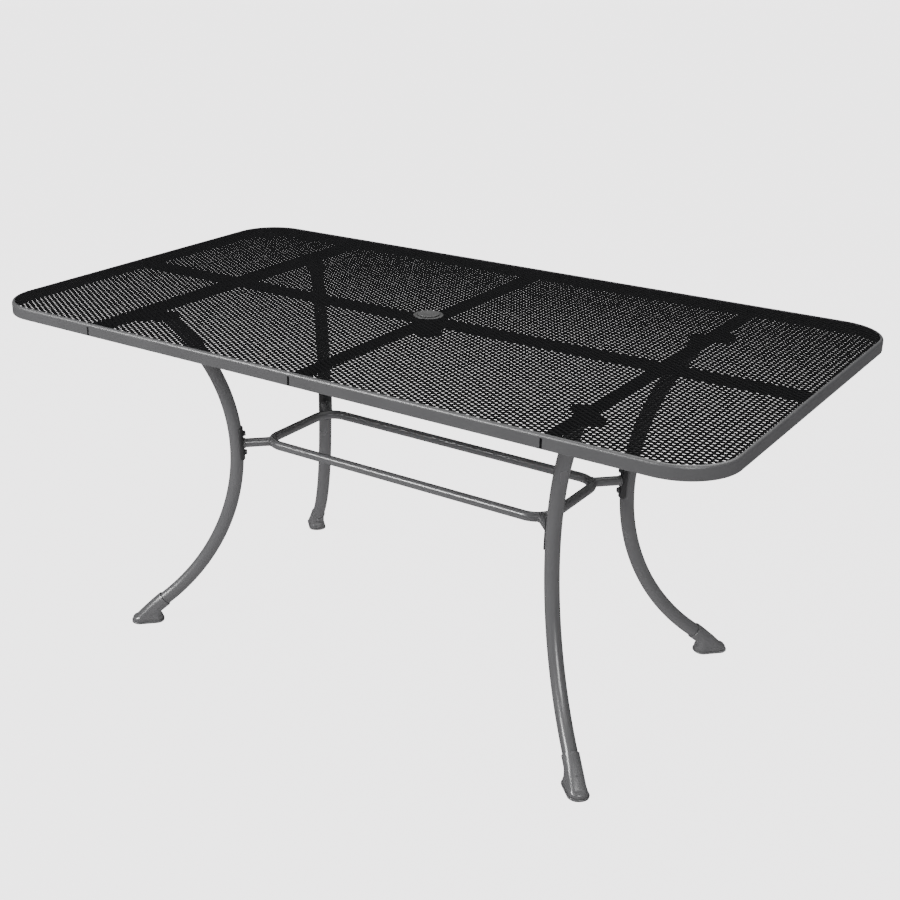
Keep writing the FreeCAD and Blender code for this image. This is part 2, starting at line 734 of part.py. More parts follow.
def build_ring():
    """Stretcher: one tube bent to a rounded rectangle, vented into the stubs."""
    ring = body("Ring")
    path = sketch_on(ring, "RingPath", "XY_Plane", "ring_height")
    reach = "(ring_corner / cos(11.25 deg))"
    corners = []
    for number in range(16):
        turn = "(%s deg)" % (11.25 + 22.5 * number)
        right = "1" if number < 4 or number > 11 else "-1"
        up = "1" if number < 8 else "-1"
        x = "%s * (ring_length / 2 - ring_corner) + %s * cos%s" % (right, reach, turn)
        y = "%s * (ring_width / 2 - ring_corner) + %s * sin%s" % (up, reach, turn)
        corners.append((x, y))
    polygon(path, [corners[-1]] + corners[:-1])
    doc.recompute()
    tube_along(ring, "RingTube", path, 16, "ring_radius")
    tube_along(ring, "RingBore", path, 16, "(ring_radius - ring_wall)", "SubtractivePipe")
    for number, (right, up) in enumerate((("1", "1"), ("-1", "1"), ("-1", "-1"), ("1", "-1"))):
        vent = ring.newObject("PartDesign::SubtractiveCylinder", "Vent%d" % (number + 1))
        vent.Placement = turned(0, 0, 1, 90 * number + 45) * turned(0, 1, 0, 90)
        bind(vent, "Radius", "vent_radius")
        bind(vent, "Height", "2 * ring_radius")
        inward = "(ring_corner - ring_corner * cos(45 deg))"
        bind(vent, "Placement.Base.x", "%s * (ring_length / 2 - %s)" % (right, inward))
        bind(vent, "Placement.Base.y", "%s * (ring_width / 2 - %s)" % (up, inward))
        bind(vent, "Placement.Base.z", "ring_height")
        doc.recompute()
    keep(ring, "stretcher_ring")


def build_stubs():
    """Short tubes from the ring's corners to the legs, coped at both ends."""
    solids = []
    for name, radius in (("StubOuter", "ring_radius"), ("StubInner", "(ring_radius - ring_wall)")):
        rod = doc.addObject("Part::Cylinder", name)
        rod.Placement = turned(0, 1, 0, 90)
        bind(rod, "Radius", radius)
        bind(rod, "Height", "stub_reach")
        bind(rod, "Placement.Base.x", "-stub_reach")
        bind(rod, "Placement.Base.z", "ring_height")
        solids.append(rod)
    tube = doc.addObject("Part::Cut", "StubTube")
    tube.Base = solids[0]
    tube.Tool = solids[1]
    bend = doc.addObject("Part::Cylinder", "RingRun")
    bend.Placement = turned(1, 0, 0, 90)
    bind(bend, "Radius", "ring_radius + seat_gap")
    bind(bend, "Height", "4 * ring_radius")
    bind(bend, "Placement.Base.x", "-stub_reach")
    bind(bend, "Placement.Base.y", "2 * ring_radius")
    bind(bend, "Placement.Base.z", "ring_height")
    coped = doc.addObject("Part::Cut", "StubCoped")
    coped.Base = tube
    coped.Tool = bend
    wrap = doc.addObject("Part::Cylinder", "SaddleRound")
    bind(wrap, "Radius", SADDLE_RADIUS + " + seat_gap")
    bind(wrap, "Height", "4 * ring_radius")
    lean_on_bend(wrap)
    below = "leg_bend - leg_bend * cos(%s) - 2 * ring_radius * sin(%s)"
    bind(wrap, "Placement.Base.x", below % (TILT, TILT))
    bind(wrap, "Placement.Base.z", "ring_height - 2 * ring_radius * cos(%s)" % TILT)
    stub = doc.addObject("Part::Cut", "Stub")
    stub.Base = coped
    stub.Tool = wrap
    doc.recompute()
    corner_frame(stub)
    keep_corners(stub, "stretcher_stubs")


def build_saddles():
    """Saddle plates: a third of a round wrapped on the inner side of the leg, drilled twice."""
    saddle = body("Saddle")
    section = sketch_on(saddle, "SaddleSection", "XY_Plane")
    inside = "(leg_radius + seat_gap)"
    turn = 3.141592653589793
    wrap = turn * value("saddle_angle") / 180
    arcs = []
    for radius in (inside, SADDLE_RADIUS):
        whole = Part.Circle(FreeCAD.Vector(0, 0, 0), FreeCAD.Vector(0, 0, 1), value(radius))
        arc = section.addGeometry(Part.ArcOfCircle(whole, turn - wrap, turn + wrap))
        section.addConstraint(Sketcher.Constraint("Coincident", arc, 3, -1, 1))
        rule = section.addConstraint(Sketcher.Constraint("Radius", arc, value(radius)))
        bind(section, "Constraints[%d]" % rule, radius)
        arcs.append((arc, radius))
    for point, sign in ((1, "1"), (2, "-1")):
        for arc, radius in arcs:
            rise = "%s * %s * sin(saddle_angle * 1 deg)" % (sign, radius)
            rule = section.addConstraint(Sketcher.Constraint("DistanceY", -1, 1, arc, point, value(rise)))
            bind(section, "Constraints[%d]" % rule, rise)
        ends = [section.getPoint(arc, point) for arc, radius in arcs]
        line = section.addGeometry(Part.LineSegment(ends[0], ends[1]))
        section.addConstraint(Sketcher.Constraint("Coincident", line, 1, arcs[0][0], point))
        section.addConstraint(Sketcher.Constraint("Coincident", line, 2, arcs[1][0], point))
    grow(saddle, "Pad", "SaddleWrap", section, "saddle_height", both=True)
    holes = sketch_on(saddle, "SaddleHoles", "YZ_Plane")
    for height in ("bolt_rise", "-bolt_rise"):
        circle(holes, "0", height, "(screw_radius + hole_gap)")
    grow(saddle, "Pocket", "SaddleDrilled", holes, "2 * leg_radius")
    lean_on_bend(saddle)
    doc.recompute()
    plate = doc.addObject("Part::Compound", "SaddlePlate")
    plate.Links = [saddle]
    corner_frame(plate)
    keep_corners(plate, "saddle_plates")


def build_saddle_bolts():
    """Two bolts through each saddle plate and the inner wall of the leg."""
    bolts = []
    for word, sign in (("Upper", ""), ("Lower", "-")):
        rise = "(%sbolt_rise)" % sign
        bolt = build_screw("SaddleBolt" + word, "bolt_length")
        stand_on_bend(bolt, rise, SADDLE_RADIUS)
        bolts.append(bolt)
    doc.recompute()
    keep_fasteners(bolts, "saddle_bolts")


build_rim()
openings = build_mesh()
build_bars()
build_parasol_hole()
build_plate("Bracket", "leg_brackets", BRACKET_BOTTOM)
build_plate("Flange", "leg_flanges", FLANGE_BOTTOM)
build_legs()
build_leg_screws()
build_shoes()
build_ring()
build_stubs()
build_saddles()
build_saddle_bolts()
doc.recompute()

for thing in doc.Objects:
    if "Invalid" in thing.State or "Error" in thing.State:
        raise RuntimeError("not built: " + thing.Name)
for piece in pieces:
    if piece.Shape.isNull() or not piece.Shape.isValid():
        raise RuntimeError("bad shape: " + piece.Label)
    piece.Shape.exportStep("parts/%s.step" % piece.Label)
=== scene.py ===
import math
import bpy
import numpy as np
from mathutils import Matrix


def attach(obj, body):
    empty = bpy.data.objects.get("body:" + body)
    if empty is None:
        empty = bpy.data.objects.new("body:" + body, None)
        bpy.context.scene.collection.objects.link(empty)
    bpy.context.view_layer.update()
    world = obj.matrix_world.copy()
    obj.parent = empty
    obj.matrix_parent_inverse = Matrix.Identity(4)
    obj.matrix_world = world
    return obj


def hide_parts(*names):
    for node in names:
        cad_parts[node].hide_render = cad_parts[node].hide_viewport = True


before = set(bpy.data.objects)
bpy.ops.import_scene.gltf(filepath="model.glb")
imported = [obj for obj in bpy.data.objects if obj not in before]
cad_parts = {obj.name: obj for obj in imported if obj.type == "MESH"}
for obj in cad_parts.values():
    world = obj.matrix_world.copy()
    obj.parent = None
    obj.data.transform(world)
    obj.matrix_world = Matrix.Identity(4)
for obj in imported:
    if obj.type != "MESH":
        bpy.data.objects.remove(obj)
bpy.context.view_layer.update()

# View, light, floor
# Studio: pale paper on the floor and all round, kept out of the gloss, which mirrors a white
# ceiling over dark walls. Soft lights at the right, at the left and above, and a standing view.


def linear(code):
    """Linear colour of an sRGB hex value: the standard curve, channel by channel."""
    channels = [int(code[place:place + 2], 16) / 255 for place in (1, 3, 5)]
    return [c / 12.92 if c <= 0.04045 else ((c + 0.055) / 1.055) ** 2.4 for c in channels] + [1.0]


def node(tree, kind, links=None, **settings):
    """Adds one shader node: settings that are inputs fill sockets, links join them to other nodes."""
    made = tree.nodes.new(kind)
    for name, value in settings.items():
        socket = name.replace("_", " ")
        if hasattr(made, name):
            setattr(made, name, value)
        else:
            made.inputs[socket].default_value = value
    for socket, source in (links or {}).items():
        tree.links.new(source, made.inputs[socket])
    return made


def material(name):
    """Empty node material with its output; returns it, its tree and its output node."""
    made = bpy.data.materials.new(name)
    made.use_nodes = True
    made.node_tree.nodes.clear()
    return made, made.node_tree, made.node_tree.nodes.new("ShaderNodeOutputMaterial")


# The view is worked out from the photograph: its place in metres, and in pixels of a picture
# 900 wide its focal length and the point that the lens is aimed at.
picture_wide = 900
focal_length = 1343.5
aim_right, aim_down = 372.5, 451
sensor = 36
view_yaw = math.radians(35.754)
view_pitch = math.radians(22.241)
view = bpy.data.objects.new("view", bpy.data.cameras.new("view"))
view.location = (1.4394, -2.1925, 1.5124)
view.rotation_euler = (math.pi / 2 - view_pitch, 0, view_yaw)
view.data.sensor_width = sensor
view.data.sensor_fit = "HORIZONTAL"
view.data.lens = sensor * focal_length / picture_wide
view.data.shift_x = (picture_wide / 2 - aim_right) / picture_wide
view.data.shift_y = (aim_down - picture_wide / 2) / picture_wide
view.data.clip_end = 200
bpy.context.scene.collection.objects.link(view)
bpy.context.scene.camera = view

# What the gloss mirrors: white overhead, dark from 17 degrees above the horizon down.
world = bpy.data.worlds.new("studio")
world.use_nodes = True
sky = world.node_tree
direction = node(sky, "ShaderNodeTexCoord")
height = node(sky, "ShaderNodeSeparateXYZ", {"Vector": direction.outputs["Generated"]})
shade = node(sky, "ShaderNodeMapRange", {"Value": height.outputs["Z"]}, interpolation_type="SMOOTHSTEP",
             From_Min=0.3, From_Max=0.75, To_Min=0.1, To_Max=1.0)
sky.links.new(shade.outputs["Result"], sky.nodes["Background"].inputs["Color"])
sky.nodes["Background"].inputs["Strength"].default_value = 0.9
bpy.context.scene.world = world


def soft_light(name, place, target, width, height, power):
    """Rectangular area light at a place, turned towards a target."""
    lamp = bpy.data.lights.new(name, "AREA")
    lamp.shape = "RECTANGLE"
    lamp.size = width
    lamp.size_y = height
    lamp.energy = power
    lit = bpy.data.objects.new(name, lamp)
    lit.location = place
    way = np.array(target, float) - np.array(place, float)
    flat = math.hypot(way[0], way[1])
    lit.rotation_euler = (math.pi / 2 - math.atan2(-way[2], flat), 0, math.atan2(-way[0], way[1]))
    bpy.context.scene.collection.objects.link(lit)


soft_light("key_light", (3.0, -2.6, 2.6), (0, 0, 0.4), 1.2, 1.6, 140)
soft_light("streak_light", (-1.6, -2.5, 2.2), (0, 0, 0.3), 1.6, 0.5, 230)
soft_light("top_light", (0.5, 1.5, 4.0), (0, 0, 0.7), 3.0, 3.0, 160)

floor_size = 60
floor_mesh = bpy.data.meshes.new("floor")
corners = [(x * floor_size, y * floor_size, 0) for x, y in ((-1, -1), (1, -1), (1, 1), (-1, 1))]
floor_mesh.from_pydata(corners, [], [(0, 1, 2, 3)])
floor = bpy.data.objects.new("floor", floor_mesh)
floor.visible_glossy = False
bpy.context.scene.collection.objects.link(floor)
pale, tree, output = material("matt studio paper")
# Glows evenly, so that it looks white and shadowless and lights the table from below.
shader = node(tree, "ShaderNodeBsdfPrincipled", Base_Color=linear("#3c3c3c"), Roughness=0.95,
              Emission_Color=linear("#fffdfe"), Emission_Strength=3.3)
tree.links.new(shader.outputs["BSDF"], output.inputs["Surface"])
floor_mesh.materials.append(pale)

wall_sides = 64
wall_radius = 20.0
wall_height = 40.0
turn = np.linspace(0, 2 * math.pi, wall_sides, endpoint=False)
wall_ring = wall_radius * np.stack([np.cos(turn), np.sin(turn), 0 * turn], axis=1)
wall_points = np.concatenate([wall_ring, wall_ring + np.array([0, 0, wall_height])])
here = np.arange(wall_sides)
after = (here + 1) % wall_sides
wall_faces = np.stack([here, here + wall_sides, after + wall_sides, after], axis=1)
wall_mesh = bpy.data.meshes.new("backdrop")
wall_mesh.from_pydata(wall_points.tolist(), [], wall_faces.tolist())
wall_mesh.materials.append(pale)
backdrop = bpy.data.objects.new("backdrop", wall_mesh)
backdrop.visible_diffuse = backdrop.visible_glossy = backdrop.visible_shadow = False
bpy.context.scene.collection.objects.link(backdrop)

# Rim
# Band of rolled sheet steel round the top, 25 mm high with a rounded upper edge and
# a ledge inside. Bent at four corners, slotted for the bars, powder-coated.

mm = 0.001
top_half = np.array([800, 450]) * mm
top_corner = 103 * mm
bar_place = 510 * mm
slot_half = 2.3 * mm
slot_low = 715.8 * mm
slot_high = 733.5 * mm


def grid(points, wrap_u, wrap_v, keep=None, capped=False):
    """Points and faces over a grid (u, v, xyz): one quad per cell, joined round along u or v
    where asked. keep is an array of the cells to fill; capped closes the first and the last row
    with a fan about its middle."""
    rows, columns = points.shape[:2]
    cells = (np.arange(rows if wrap_u else rows - 1), np.arange(columns if wrap_v else columns - 1))
    u, v = np.meshgrid(*cells, indexing="ij")
    if keep is not None:
        u, v = u[keep], v[keep]
    u, v = u.ravel(), v.ravel()
    up, over = (u + 1) % rows, (v + 1) % columns
    quads = np.stack([u * columns + v, up * columns + v, up * columns + over, u * columns + over], axis=1)
    flat = points.reshape(-1, 3)
    if not capped:
        return flat, [quads]
    flat = np.concatenate([flat, points[:1].mean(axis=1), points[-1:].mean(axis=1)])
    v = np.arange(columns)
    over = (v + 1) % columns
    last = (rows - 1) * columns
    first_fan = np.stack([v, over, np.full(columns, rows * columns)], axis=1)
    last_fan = np.stack([last + over, last + v, np.full(columns, rows * columns + 1)], axis=1)
    return flat, [quads, first_fan, last_fan]


def mesh_piece(name, points, sets, sharp):
    """Object at the origin from points and sets of faces, each set with faces of as many
    corners. It is shaded smooth but for edges over the sharp angle, in degrees."""
    sizes = np.concatenate([np.full(len(faces), faces.shape[1]) for faces in sets])
    made = bpy.data.meshes.new(name)
    made.vertices.add(len(points))
    made.vertices.foreach_set("co", np.ascontiguousarray(points, dtype=np.float32).ravel())
    made.loops.add(int(sizes.sum()))
    corners = np.concatenate([faces.ravel() for faces in sets])
    made.loops.foreach_set("vertex_index", corners.astype(np.int32))
    made.polygons.add(len(sizes))
    made.polygons.foreach_set("loop_start", (np.cumsum(sizes) - sizes).astype(np.int32))
    made.update(calc_edges=True)
    made.shade_smooth()
    made.set_sharp_from_angle(angle=math.radians(sharp))
    piece = bpy.data.objects.new(name, made)
    bpy.context.scene.collection.objects.link(piece)
    return piece


def dress(piece, coat, node_name, body_name="table"):
    """Coats a piece and lets it stand in for a node of the construction."""
    piece.data.materials.append(coat)
    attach(piece, body_name)
    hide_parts(node_name)


def round_path(half, corner, extra, steps):
    """Rounded rectangle as stations, anticlockwise: quarter circles of even steps, and extra
    stations at the given X on the two long sides. Returns the points and outward normals."""
    places, normals = [], []
    turns = np.radians(np.linspace(0, 90, steps + 1))
    for quarter in range(4):
        sign = np.array([(1, 1), (-1, 1), (-1, -1), (1, -1)][quarter])
        turn = turns + quarter * math.pi / 2
        normal = np.stack([np.cos(turn), np.sin(turn)], axis=1)
        places.append(sign * (half - corner) + corner * normal)
        normals.append(normal)
        if quarter in (0, 2):
            side = 1 - quarter
            along = np.sort(np.array(extra))[::-1] * side
            places.append(np.stack([along, np.full(len(along), side * half[1])], axis=1))
            normals.append(np.tile([0.0, side], (len(along), 1)))
    return np.concatenate(places), np.concatenate(normals)


bar_places = (-bar_place, 0, bar_place)
slot_edges = [place + side for place in bar_places for side in (-slot_half, slot_half)]
path, outward = round_path(top_half, top_corner, slot_edges, 32)
# Section of the band as (depth in from its outside, height), in mm: up the outside, over the
# rolled edge, down to the ledge for the sheet and back down the inside.
roll_radius = 5.5
roll_middle = 734.5
roll = np.radians(np.linspace(0, 90, 9))
profile = [(0, 715.6), (0, slot_low / mm), (0, slot_high / mm)]
profile += [(roll_radius * (1 - math.cos(a)), roll_middle + roll_radius * math.sin(a)) for a in roll]
profile += [(6.2, 740), (6.5, 739.7), (6.5, 736), (10.2, 736), (10.5, 735.7), (10.5, 733.8), (10.2, 733.5)]
profile += [(2.5, slot_high / mm), (2.5, slot_low / mm), (2.5, 715.6), (1.9, 715), (0.6, 715)]
outer_wall = 1
inner_wall = len(profile) - 5
profile = np.array(profile) * mm
rim_points = np.empty((len(path), len(profile), 3))
rim_points[:, :, :2] = path[:, None] - outward[:, None] * profile[None, :, :1]
rim_points[:, :, 2] = profile[:, 1]
# A slot is a cell left out of both walls, closed by four faces through the band.
middle = (path + np.roll(path, -1, axis=0)) / 2
on_long_side = abs(middle[:, 1]) > top_half[1] - 0.001 * mm
in_slot = np.zeros(len(path), bool)
for place in bar_places:
    in_slot |= (abs(middle[:, 0] - place) < slot_half) & on_long_side
open_cell = np.zeros(rim_points.shape[:2], bool)
open_cell[np.ix_(in_slot, [outer_wall, inner_wall])] = True
flat, rim_faces = grid(rim_points, True, True, ~open_cell)
here = np.flatnonzero(in_slot) * len(profile)
after = (np.flatnonzero(in_slot) + 1) % len(path) * len(profile)
out_low, out_high = outer_wall, outer_wall + 1
in_high, in_low = inner_wall, inner_wall + 1
for corners in ((here + out_low, after + out_low, after + in_low, here + in_low),
                (after + out_low, after + out_high, after + in_high, after + in_low),
                (after + out_high, here + out_high, here + in_high, after + in_high),
                (here + out_high, here + out_low, here + in_low, here + in_high)):
    rim_faces.append(np.stack(corners, axis=1))
rim = mesh_piece("rim", flat, rim_faces, 30)


def powder_coat(name, code, rough, ior, grain, depth):
    """Powder coat: baked polyester, its skin rippled like orange peel, so its gloss is broken up
    and wavers. grain is the width of a ripple and depth its height, both in millimetres. Faint
    clouds of 70 mm are where the coat came out thicker: up to a tenth lighter or darker, and
    0.04 duller or glossier."""
    coat, tree, output = material(name)
    place = node(tree, "ShaderNodeTexCoord")
    skin = node(tree, "ShaderNodeTexNoise", {"Vector": place.outputs["Object"]}, Scale=1000 / grain)
    bump = node(tree, "ShaderNodeBump", {"Height": skin.outputs["Fac"]}, Distance=depth * mm)
    wear = node(tree, "ShaderNodeTexNoise", {"Vector": place.outputs["Object"]}, Scale=14.0, Detail=4.0)
    base = linear(code)
    tint = node(tree, "ShaderNodeMix", {"Factor": wear.outputs["Fac"]}, data_type="RGBA")
    tint.inputs["A"].default_value = [c * 0.9 for c in base[:3]] + [1]
    tint.inputs["B"].default_value = [min(1, c * 1.1) for c in base[:3]] + [1]
    gloss = node(tree, "ShaderNodeMapRange", {"Value": wear.outputs["Fac"]},
                 To_Min=rough - 0.04, To_Max=rough + 0.04)
    shader = node(tree, "ShaderNodeBsdfPrincipled", {
        "Base Color": tint.outputs["Result"], "Roughness": gloss.outputs["Result"],
        "Normal": bump.outputs["Normal"]}, IOR=ior)
    tree.links.new(shader.outputs["BSDF"], output.inputs["Surface"])
    return coat


# Dark grey with a broad soft sheen, brightest along the rounded upper edge.
rim_coat = powder_coat("satin graphite powder coat on rolled sheet", "#333334", 0.42, 1.5, 2.0, 0.006)
dress(rim, rim_coat, "rim_frame")

# Expanded metal top
# One steel sheet, slit in staggered rows and pulled open: 19.82 mm from bond to bond
# along the table and 11.5 mm across it. Each strand leans, two strands make a bond.

long_pitch = 19.82 * mm
short_pitch = 11.5 * mm
strand_wide = 3.7 * mm
strand_thick = 2.0 * mm
strand_lean = math.radians(7)
bond_half = 1.7 * mm
sheet_middle = 738.0 * mm
sheet_inset = 6.7 * mm
flange_reach = 30.0 * mm


def strands(low_x, high_x):
    """Zigzag strands between two rows of bonds, for one bay of the sheet.
    Row r runs at y = r half short pitches; its bonds sit at x = c half long pitches with r + c
    even. A strand's middle line starts half a strand above one bond and ends half a strand
    below the next; its four corners are that line plus or minus half its leaning width and
    half its thickness. Returns the corners as an array (row, station, corner, xyz)."""
    wide = strand_wide * np.array([0, math.cos(strand_lean), -math.sin(strand_lean)])
    thick = strand_thick * np.array([0, math.sin(strand_lean), math.cos(strand_lean)])
    rows = int(top_half[1] / (short_pitch / 2)) + 1
    row = np.arange(-rows, rows)
    margin = 0.001
    first = math.floor(low_x / (long_pitch / 2) + margin)
    last = math.ceil(high_x / (long_pitch / 2) - margin)
    column = np.arange(first, last + 1)
    r, c = np.meshgrid(row, column, indexing="ij")
    upper = (r + c) % 2
    bond_x, bond_y = c * long_pitch / 2, (r + upper) * short_pitch / 2
    bond = np.stack([bond_x, bond_y, 0 * r + sheet_middle], axis=2)
    centre = bond + (0.5 - upper)[..., None] * wide
    offsets = np.array([-bond_half, 0, bond_half])
    line = centre[:, :, None, :] + np.array([1.0, 0, 0]) * offsets[:, None]
    line = line.reshape(len(row), -1, 3)
    sides = ((-1, -1), (1, -1), (1, 1), (-1, 1))
    return np.stack([line + (across * wide + up * thick) / 2 for across, up in sides], axis=2)


def inside_top(xy, inset):
    """How far a point lies inside the inset outline of the top, in metres."""
    half = top_half - inset
    corner = top_corner - inset
    away = abs(xy) - (half - corner)
    beyond = np.linalg.norm(np.maximum(away, 0), axis=-1)
    return corner - beyond - np.minimum(np.max(away, axis=-1), 0)


def bay(name, low_x, high_x):
    """One bay of the expanded sheet. A run of strand between two stations is left out where both
    ends lie past the border or one lies in the parasol hole; corners past the border or past
    the bay's own ends are brought back to them. Where a strand stops, its end is closed."""
    corners = strands(low_x, high_x)
    middle = corners.mean(axis=2)
    middle[..., 0] = np.clip(middle[..., 0], low_x, high_x)
    corners[..., 0] = np.clip(corners[..., 0], low_x, high_x)
    depth = inside_top(middle[..., :2], sheet_inset)
    hole = np.linalg.norm(middle[..., :2], axis=-1) - flange_reach
    fits = np.minimum(depth, hole) > 0
    half = top_half - sheet_inset
    corner = top_corner - sheet_inset
    across = np.minimum(abs(corners[..., 1]), half[1])
    into = np.maximum(across - (half[1] - corner), 0)
    limit_x = half[0] - corner + np.sqrt(np.maximum(corner ** 2 - into ** 2, 0))
    corners[..., 0] = np.clip(corners[..., 0], -limit_x, limit_x)
    corners[..., 1] = np.sign(corners[..., 1]) * across
    columns = middle.shape[1]
    filled = (fits[:, :-1] | fits[:, 1:]) & (hole[:, :-1] > 0) & (hole[:, 1:] > 0)
    filled &= corners[:, 1:, 0, 0] - corners[:, :-1, 0, 0] > 0.001 * mm
    r, c = np.nonzero(filled)
    start = (r * columns + c) * 4
    sides = []
    for side in range(4):
        after = (side + 1) % 4
        sides.append(np.stack([start + side, start + after, start + 4 + after, start + 4 + side], axis=1))
    before = np.zeros_like(filled)
    before[:, 1:] = filled[:, :-1]
    behind = np.zeros_like(filled)
    behind[:, :-1] = filled[:, 1:]
    r, c = np.nonzero(filled & ~before)
    start = (r * columns + c) * 4
    sides.append(np.stack([start, start + 3, start + 2, start + 1], axis=1))
    r, c = np.nonzero(filled & ~behind)
    start = (r * columns + c + 1) * 4
    sides.append(np.stack([start, start + 1, start + 2, start + 3], axis=1))
    points = corners.reshape(-1, 3)
    faces = np.concatenate(sides)
    used, index = np.unique(faces, return_inverse=True)
    return mesh_piece(name, points[used], [index.reshape(faces.shape)], 30)


# Nearly black strands: only their tilted upper faces catch a little grey from the ceiling.
sheet_coat = powder_coat("matt black powder coat on expanded steel", "#050506", 0.5, 1.14, 1.0, 0.01)
# The bays part at the table's middle and 51 half pitches to either side of it.
bay_edge = 51 * long_pitch / 2
bays = (("sheet_left", -top_half[0], -bay_edge), ("sheet_middle_left", -bay_edge, 0.0))
bays += (("sheet_middle_right", 0.0, bay_edge), ("sheet_right", bay_edge, top_half[0]))
for name, low_x, high_x in bays:
    dress(bay(name, low_x, high_x), sheet_coat, "mesh_top")

# Cross bars and plates
# Flat steel bars on edge, 20 by 4 mm, the sleeve between them and the plates that take
# the leg heads. Sawn and punched, welded, then coated with the rest of the table.

# Painted shade: the bars are coloured near black and dull to stand in for the shade they lie in under the
# sheet, so that they sink behind it and show as bands of shade.
bar_coat_painted_shade = powder_coat("flat bar coat darkened as painted shade", "#060607", 0.5, 1.15, 1.5, 0.01)
# The same near black, a painted shade for the shadow under the sheet, goes on the sleeve and on the plates
# at the leg heads.
for name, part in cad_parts.items():
    if "_bar_" in name or name in ("parasol_sleeve", "leg_brackets", "leg_flanges"):
        part.data.materials.clear()
        part.data.materials.append(bar_coat_painted_shade)

# Parasol bush and cap
# Moulded plastic bush with a wide flange on the sheet, and a lid that plugs its bore.
# Both are turned shapes with their edges rounded by the mould.


def surface(name, grids, sharp=35):
    """Object at the origin from one or more grids, smooth but for edges over the sharp angle."""
    points = np.concatenate([flat for flat, faces in grids])
    starts = np.cumsum([0] + [len(flat) for flat, faces in grids])
    sets = [face + start for (flat, faces), start in zip(grids, starts) for face in faces]
    return mesh_piece(name, points, sets, sharp)


def turned(profile, steps=96):
    """Closed grid of a turned shape: (radius, height) pairs in millimetres, carried round the
    middle axis of the table. The profile runs so that the material lies on its left side."""
    radius, height = (np.array(profile) * mm).T
    turn = np.linspace(0, 2 * math.pi, steps, endpoint=False)[:, None]
    points = np.stack([radius * np.cos(turn), radius * np.sin(turn), height + 0 * turn], axis=2)
    return grid(points, True, True)


def moulded(name, code, rough):
    """Moulded plastic: a spark-eroded mould skin that takes the edge off its gloss, with a grain
    of about 0.3 mm that is drawn at 1.2 mm so that it can show. Flow left faint clouds, up to
    0.08 lighter or darker and 0.05 duller or glossier."""
    made, tree, output = material(name)
    place = node(tree, "ShaderNodeTexCoord")
    grain, depth = 1.2, 0.004
    skin = node(tree, "ShaderNodeTexNoise", {"Vector": place.outputs["Object"]},
                Scale=1000 / grain, Detail=3.0)
    bump = node(tree, "ShaderNodeBump", {"Height": skin.outputs["Fac"]}, Distance=depth * mm)
    cloud = node(tree, "ShaderNodeTexNoise", {"Vector": place.outputs["Object"]}, Scale=40.0, Detail=2.0)
    base = linear(code)
    tint = node(tree, "ShaderNodeMix", {"Factor": cloud.outputs["Fac"]}, data_type="RGBA")
    tint.inputs["A"].default_value = [c * 0.92 for c in base[:3]] + [1]
    tint.inputs["B"].default_value = [min(1, c * 1.08) for c in base[:3]] + [1]
    gloss = node(tree, "ShaderNodeMapRange", {"Value": cloud.outputs["Fac"]},
                 To_Min=rough - 0.05, To_Max=rough + 0.05)
    shader = node(tree, "ShaderNodeBsdfPrincipled", {
        "Base Color": tint.outputs["Result"], "Roughness": gloss.outputs["Result"],
        "Normal": bump.outputs["Normal"]}, IOR=1.5)
    tree.links.new(shader.outputs["BSDF"], output.inputs["Surface"])
    return made


# Sections as (radius, height) in mm: the bush up its outside, over its flange, down the pocket
# for the lid and down its bore; the lid from its hollow underside round its spigot to its top.
bush_profile = ((24.6, 700), (24.8, 700.2), (24.8, 738), (30.3, 738), (30.7, 738.3), (30.7, 738.7),
                (30.4, 739.1), (29.7, 739.35), (28.6, 739.4), (22.1, 739.4), (21.7, 739.3), (21.5, 739.0),
                (21.5, 731.6), (21.3, 731.4), (20.2, 731.4), (20.0, 731.2), (20.0, 700.2), (20.2, 700))
cap_profile = ((0.01, 739.7), (18.8, 739.7), (19.2, 739.4), (19.2, 732.2), (19.4, 732), (20.9, 732),
               (21.2, 732.3), (21.2, 739.5), (21.4, 739.75), (22.1, 739.75), (22.45, 740.2), (22.5, 740.9),
               (22.4, 741.4), (22.1, 741.75), (21.6, 741.93), (20.9, 742), (20.2, 741.97), (19.6, 741.85),
               (0.01, 741.8))
# Mid grey, satin, with no glint of metal: lighter than the sheet round it.
bush_skin = moulded("moulded grey polypropylene", "#2c2c2c", 0.42)
dress(surface("bush", [turned(bush_profile)], 40), bush_skin, "parasol_bush")
# The lid comes from another mould and is a shade lighter than its flange.
cap_skin = moulded("moulded grey polypropylene of the lid", "#323232", 0.4)
dress(surface("lid", [turned(cap_profile)], 40), cap_skin, "parasol_cap", "cap")

# Legs
# Round steel tube, 30 by 1.5 mm, cold-bent to one even bow with a straight tail that goes
# into the shoe. Cut level at the top and welded to its plate all round.

leg_place = np.array([390.888, 157.888]) * mm
leg_bend = 433 * mm
leg_middle = 400 * mm
leg_radius = 15 * mm
leg_top = 710 * mm
foot_turn = math.radians(52)
head_turn = math.radians(43.5)
diagonal = math.sqrt(0.5)


def at_corner(points, right, back):
    """Carries points (along, across, height) of a leg's own plane to a corner of the table.
    A mirrored corner takes the columns of the grid the other way, so faces keep looking out."""
    along, across, height = np.moveaxis(points, -1, 0)
    x = right * (leg_place[0] + (along - across) * diagonal)
    y = back * (leg_place[1] + (along + across) * diagonal)
    placed = np.stack([x, y, height], axis=-1)
    return placed if right * back > 0 else placed[:, ::-1]


def four(shapes):
    """The grids of one corner, given as (points, wrap_u, wrap_v, capped), at all four corners."""
    grids = []
    for right in (1, -1):
        for back in (1, -1):
            for points, wrap_u, wrap_v, capped in shapes:
                grids.append(grid(at_corner(points, right, back), wrap_u, wrap_v, None, capped))
    return grids


